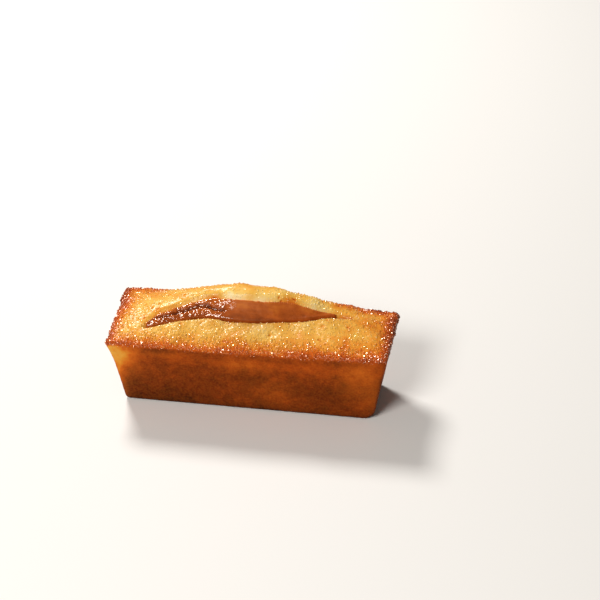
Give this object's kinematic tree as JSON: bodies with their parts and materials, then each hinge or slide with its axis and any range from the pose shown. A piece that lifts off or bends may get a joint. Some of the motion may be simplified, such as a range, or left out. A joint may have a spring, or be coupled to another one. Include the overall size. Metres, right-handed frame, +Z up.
{
  "type": "financier cake",
  "caption": "Small bar-shaped almond cake with a risen, split top that shows a strip of glossy fruit filling, for serving or display.",
  "frame": {"origin": "the middle of the cake's box, at the flat foot that it stands on", "axes": "+X along the bar, +Y from the front side to the back, +Z up"},
  "size_m": [0.0854, 0.0304, 0.0334],
  "materials": {
    "baked_crumb": "baked golden brown crumb with a granular crust",
    "fruit_filling": "moist caramel brown fruit"
  },
  "bodies": {
    "root": {"cake": "baked_crumb", "filling": "fruit_filling"}
  },
  "joints": []
}
